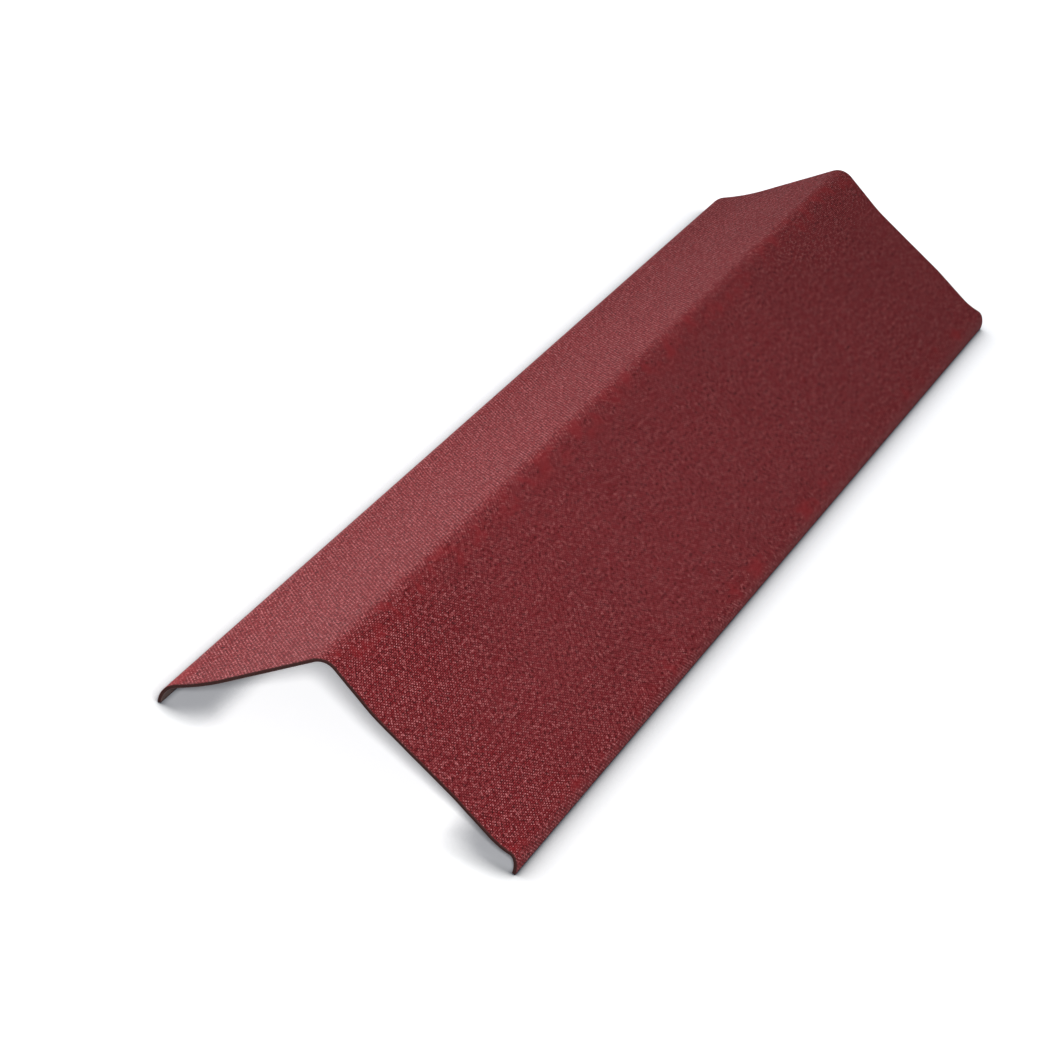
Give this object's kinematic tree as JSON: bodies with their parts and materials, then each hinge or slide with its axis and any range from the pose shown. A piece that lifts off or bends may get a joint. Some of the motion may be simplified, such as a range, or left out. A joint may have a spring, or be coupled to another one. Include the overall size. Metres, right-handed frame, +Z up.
{
  "type": "verge trim",
  "caption": "Pressed bitumen-fibre sheet folded along a ridge into a wide and a narrow flange with rolled lips; caps the sloping edge of a roof.",
  "frame": {"origin": "middle of the footprint's box, on the floor that both lips stand on", "axes": "+X along the ridge; +Z up; the wide flange falls to -Y and the narrow flange to +Y"},
  "size_m": [1, 0.2584, 0.085],
  "materials": {
    "pressed_sheet": "matt, deep red, with a fine woven emboss"
  },
  "bodies": {
    "root": {"verge_trim": "pressed_sheet"}
  },
  "joints": []
}
